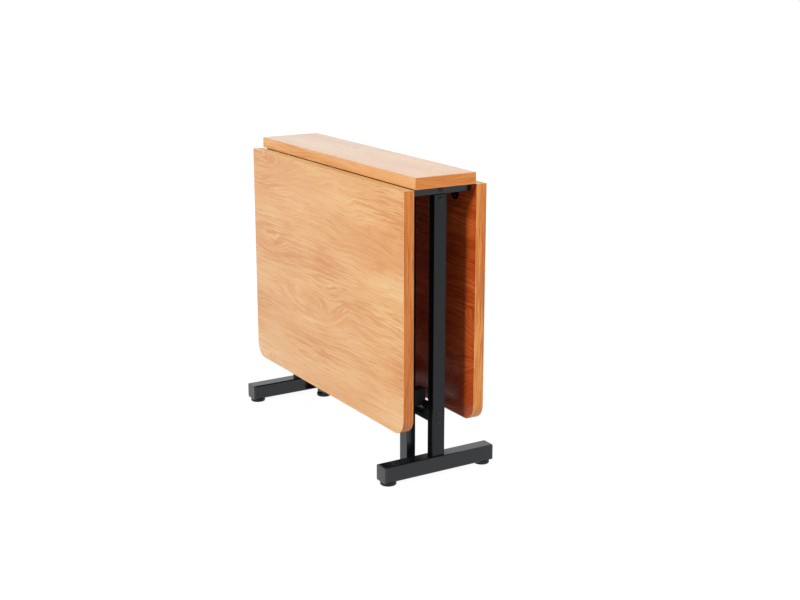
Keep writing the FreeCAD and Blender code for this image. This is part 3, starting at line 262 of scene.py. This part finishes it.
# Where in the endless figure each surface is cut.
TOP_SHIFT = (3.1, 0.2, 0.0)
LEAF_SHIFT = (0.0, 0.0, 0.0)
LONG_EDGE_SHIFT = (0.3, 0.7, 1.9)
SHORT_EDGE_SHIFT = (1.1, 2.3, 0.4)

FACE_LACQUER = 0.8  # coat weight of the outer faces; the undersides have none
BOARD_ROUGHNESS = (0.24, 0.36)
BAND_ROUGHNESS = (0.38, 0.50)
END_FACING = (0.55, 0.85)  # how far a face turns sideways or down while it takes the end tone


def middle_of(name, axis):
    """How far out along an axis a board's mid plane lies."""
    corners = [corner["XYZ".index(axis)] for corner in nodes[name].bound_box]
    return abs(sum(corners) / len(corners))


def board_look(name, node, across, deep, shift):
    """Oak-effect laminate, grain along X; its underside takes a deeper, redder ramp as painted
    shade, and is not lacquered.
    """
    look = Look(name, IOR=1.38, Coat_Roughness=0.20, Coat_IOR=1.5)
    axes = look.axes(look.position)
    figure = grain(look, axes["X"], axes[across], axes[deep], shift)
    tone = wood_tone(look, figure)
    under = look.math("LESS_THAN", look.math("ABSOLUTE", axes[deep]), middle_of(node, deep))
    # The underside's ramp is painted shade.
    look.colour(look.blend(under, look.ramp(tone, FACE_STOPS), look.ramp(tone, UNDERSIDE_SHADE_STOPS)))
    look.roughness(look.spread(figure["fibres"], *FIBRE_NOISE, *BOARD_ROUGHNESS))
    look.lacquer(look.math("MULTIPLY_ADD", under, -FACE_LACQUER, FACE_LACQUER))
    look.bump(wood_relief(look, figure), RELIEF_STRENGTH, RELIEF_DEPTH)
    return look.material


def band_look(name, across, deep, long_stops, end_shade_stops):
    """Edge banding: grain runs along the edge; short ends take a deeper, redder tone, partly their
    own and partly painted shade, and lower faces take the same tone as painted shade.
    """
    look = Look(name, IOR=1.5, Coat_Weight=0.2, Coat_Roughness=0.35, Coat_IOR=1.5)
    axes = look.axes(look.position)
    facing = look.axes(look.facing)
    sideways = look.math("ABSOLUTE", facing["X"])
    downwards = look.math("MULTIPLY", facing["Z"], -1.0)
    # End faces and downward faces take the short-edge grain and the deeper end tone, which on
    # downward faces is painted shade.
    at_end = look.spread(look.math("MAXIMUM", sideways, downwards), *END_FACING)
    long_edge = grain(look, axes["X"], axes[across], axes[deep], LONG_EDGE_SHIFT)
    short_edge = grain(look, axes[deep], axes[across], axes["X"], SHORT_EDGE_SHIFT)
    long_colour = look.ramp(wood_tone(look, long_edge), long_stops)
    shaded_end_colour = look.ramp(wood_tone(look, short_edge), end_shade_stops)
    look.colour(look.blend(at_end, long_colour, shaded_end_colour))
    fibres = look.blend(at_end, long_edge["fibres"], short_edge["fibres"])
    look.roughness(look.spread(fibres, *FIBRE_NOISE, *BAND_ROUGHNESS))
    relief = look.blend(at_end, wood_relief(look, long_edge), wood_relief(look, short_edge))
    look.bump(relief, RELIEF_STRENGTH, RELIEF_DEPTH)
    return look.material


# ---------------------------------------------------------------- metal and plastic

COOL_SHEEN = (0.88, 0.94, 1.0, 1)
DRIFT_NOISE = (0.3, 0.7)
COAT_DRIFT_SCALE = 9.0
COAT_DEPTH = 0.12  # height of the texture, as a share of its grain size
BRIGHT_DRIFT_SCALE = 25.0
MARK_STRETCH = (300.0, 300.0, 4000.0)
MARK_STRENGTH = 0.15
MARK_DEPTH = 0.00002


def drifting(look, drift, dark, light):
    """Two close tones, mixed by a slow noise."""
    return look.ramp(drift, list(zip(DRIFT_NOISE, (dark, light))))


def coated_look(name, dark, light, grain_size, roughness, relief, **settings):
    """A painted or moulded surface: slight tone drift, gloss drift and a fine texture."""
    look = Look(name, **settings)
    drift = look.noise(look.position, scale=COAT_DRIFT_SCALE, detail=4.0, roughness=0.6)
    texture = look.noise(look.position, scale=1.0 / grain_size)
    look.colour(drifting(look, drift, dark, light))
    gloss = look.math("MULTIPLY", look.math("ADD", drift, texture), 0.5)
    look.roughness(look.spread(gloss, *DRIFT_NOISE, *roughness))
    look.bump(texture, relief, grain_size * COAT_DEPTH)
    return look.material


def brushed_look(name, dark, light, roughness):
    """Bright metal with fine turning marks."""
    look = Look(name, Metallic=1.0)
    marks = look.noise(look.stretched(look.position, MARK_STRETCH))
    drift = look.noise(look.position, scale=BRIGHT_DRIFT_SCALE, detail=3.0)
    look.colour(drifting(look, drift, dark, light))
    look.roughness(look.spread(marks, *DRIFT_NOISE, *roughness))
    look.bump(marks, MARK_STRENGTH, MARK_DEPTH)
    return look.material


POWDER_COAT = dict(dark=(0.0020, 0.0021, 0.0025), light=(0.0040, 0.0042, 0.0050),
                   grain_size=0.0011, roughness=(0.13, 0.21), relief=0.10,
                   Specular_Tint=COOL_SHEEN)

MATERIALS = {
    "top_board": board_look("oak_top", "centre_top", "Y", "Z", TOP_SHIFT),
    "leaf_board": board_look("oak_leaf", "front_leaf_panel", "Z", "Y", LEAF_SHIFT),
    "top_band": band_look("band_top", "Z", "Y", TOP_EDGE_STOPS, TOP_END_SHADE_STOPS),
    "leaf_band": band_look("band_leaf", "Y", "Z", LEAF_EDGE_HIGHLIGHT_STOPS, LEAF_END_SHADE_STOPS),
    "steel": coated_look("black_powder_coat", IOR=1.51, **POWDER_COAT),
    "posts": coated_look("black_powder_coat_post", IOR=1.39, **POWDER_COAT),
    "caps": coated_look(
        "black_cap_plastic", dark=(0.0080, 0.0082, 0.0090), light=(0.0120, 0.0122, 0.0132),
        grain_size=0.0005, roughness=(0.20, 0.28), relief=0.14, IOR=1.56,
        Specular_Tint=COOL_SHEEN),
    "plastic": coated_look(
        "black_plastic", dark=(0.0035, 0.0035, 0.0036), light=(0.0060, 0.0060, 0.0062),
        grain_size=0.0005, roughness=(0.46, 0.58), relief=0.30, IOR=1.40),
    "nylon": coated_look(
        "nylon", dark=(0.58, 0.57, 0.53), light=(0.66, 0.65, 0.61),
        grain_size=0.0006, roughness=(0.42, 0.52), relief=0.20, IOR=1.53),
    "bolts": coated_look(
        "black_oxide", dark=(0.0030, 0.0030, 0.0032), light=(0.0060, 0.0060, 0.0062),
        grain_size=0.0004, roughness=(0.28, 0.38), relief=0.12, IOR=1.5),
    "screws": coated_look(
        "black_zinc", dark=(0.0080, 0.0080, 0.0085), light=(0.0160, 0.0160, 0.0165),
        grain_size=0.0004, roughness=(0.26, 0.36), relief=0.10, IOR=1.6),
    "bright": brushed_look(
        "bright_steel", dark=(0.50, 0.50, 0.51), light=(0.60, 0.60, 0.61),
        roughness=(0.22, 0.34)),
}

# ---------------------------------------------------------------- which node wears what

NODE_LOOKS = {
    "top_board": ["centre_top"],
    "leaf_board": ["front_leaf_panel", "rear_leaf_panel"],
    "top_band": ["centre_top_edge_band"],
    "leaf_band": ["front_leaf_edge_band", "rear_leaf_edge_band"],
    "posts": ["near_post", "far_post"],
    "caps": ["foot_end_caps"],
    "steel": ["near_foot_bar", "far_foot_bar", "near_top_rail", "far_top_rail", "stretcher",
              "joining_plates", "front_gate_leg", "rear_gate_leg", "front_gate_top_rail",
              "rear_gate_top_rail", "front_gate_low_rail", "rear_gate_low_rail",
              "front_gate_pivot_tube", "rear_gate_pivot_tube", "front_gate_collar",
              "rear_gate_collar", "front_lower_pivot_bracket", "rear_lower_pivot_bracket",
              "front_upper_pivot_plate", "rear_upper_pivot_plate", "front_hinge_top_plates",
              "rear_hinge_top_plates", "front_hinge_leaf_plates", "rear_hinge_leaf_plates"],
    "plastic": ["foot_glides", "rail_end_caps", "stretcher_end_plugs", "front_gate_glide",
                "rear_gate_glide", "front_gate_top_pad", "rear_gate_top_pad",
                "front_gate_pivot_plugs", "rear_gate_pivot_plugs", "front_gate_catch",
                "rear_gate_catch", "front_leaf_rest", "rear_leaf_rest"],
    "nylon": ["lower_pivot_bushes"],
    "bolts": ["rail_bolts", "stretcher_bolts"],
    "screws": ["hinge_pins", "bracket_screws", "gate_catch_screws", "hinge_top_screws",
               "pivot_plate_screws", "rail_screws", "front_hinge_leaf_screws",
               "rear_hinge_leaf_screws", "front_leaf_rest_screws", "rear_leaf_rest_screws"],
    "bright": ["gate_catch_magnets"],
}


def dress_nodes():
    for look, names in NODE_LOOKS.items():
        for name in names:
            for slot in nodes[name].material_slots:
                slot.material = MATERIALS[look]


# ---------------------------------------------------------------- floor, world and lamps

FLOOR_HALF = 30.0
FLOOR_COLOUR = (0.62, 0.62, 0.62, 1)
FLOOR_GLOW = 0.84  # share of the floor that glows, for rays that see the surroundings
GLOW_REACH = (1.0, 4.0)  # distances from the table between which the glow grows
GLOW_LEVELS = (1.13, 1.20)
WORLD_LEVEL = 0.24
WHITE = (1, 1, 1, 1)
LAMP_AIM = Vector((0, 0, 0.4))
LAMPS = (
    # name, azimuth, elevation, distance, size, watts
    ("key_lamp", 15.5, 30, 8.0, 1.6, 410),
    ("side_lamp", 100, 32, 3.2, 1.3, 34),
    ("back_lamp", 215, 16, 4.0, 1.6, 74),
)


def sees_surroundings(graph):
    """1 for the camera's, reflected and transmitted rays, which see plain white, else 0."""
    rays = graph.add("ShaderNodeLightPath").outputs
    seen = graph.math("MAXIMUM", rays["Is Camera Ray"], rays["Is Glossy Ray"])
    return graph.math("MAXIMUM", seen, rays["Is Transmission Ray"])


def floor_material():
    """Pale paper that keeps shadows, with a glow on top for the rays that see it as white."""
    material = bpy.data.materials.new("floor")
    material.use_nodes = True
    graph = Graph(material.node_tree)
    graph.tree.nodes.clear()
    place = graph.add("ShaderNodeTexCoord").outputs["Object"]
    away = graph.add("ShaderNodeVectorMath", {0: place}, operation="LENGTH").outputs["Value"]
    strength = graph.spread(away, *GLOW_REACH, *GLOW_LEVELS)
    paper = graph.add("ShaderNodeBsdfDiffuse", {"Color": FLOOR_COLOUR}).outputs[0]
    glow = graph.add("ShaderNodeEmission", {"Strength": strength}).outputs[0]
    share = graph.math("MULTIPLY", sees_surroundings(graph), FLOOR_GLOW)
    both = graph.add("ShaderNodeMixShader", {0: share, 1: paper, 2: glow}).outputs[0]
    graph.add("ShaderNodeOutputMaterial", {"Surface": both})
    return material


def add_floor():
    mesh = bpy.data.meshes.new("floor")
    corners = [(x * FLOOR_HALF, y * FLOOR_HALF, 0) for x, y in
               ((-1, -1), (1, -1), (1, 1), (-1, 1))]
    mesh.from_pydata(corners, [], [(0, 1, 2, 3)])
    mesh.materials.append(floor_material())
    floor = bpy.data.objects.new("floor", mesh)
    bpy.context.scene.collection.objects.link(floor)


def add_world():
    world = bpy.data.worlds.new("world")
    world.use_nodes = True
    graph = Graph(world.node_tree)
    background = graph.tree.nodes["Background"]
    graph.feed(background.inputs["Color"], WHITE)
    graph.feed(background.inputs["Strength"],
               graph.spread(sees_surroundings(graph), 0.0, 1.0, WORLD_LEVEL, 1.0))
    bpy.context.scene.world = world


def add_lamps():
    """Soft disk lamps that light the table without showing in its gloss."""
    for name, azimuth, elevation, distance, size, watts in LAMPS:
        data = bpy.data.lights.new(name, "AREA")
        data.shape = "DISK"
        data.size = size
        data.energy = watts
        lamp = bpy.data.objects.new(name, data)
        lamp.visible_glossy = False
        towards = direction(azimuth, elevation)
        lamp.location = LAMP_AIM + towards * distance
        lamp.rotation_mode = "QUATERNION"
        lamp.rotation_quaternion = towards.to_track_quat("Z", "Y")
        bpy.context.scene.collection.objects.link(lamp)


# ---------------------------------------------------------------- scene

dress_nodes()
add_camera()
add_floor()
add_world()
add_lamps()
bpy.context.scene.view_settings.view_transform = "Standard"
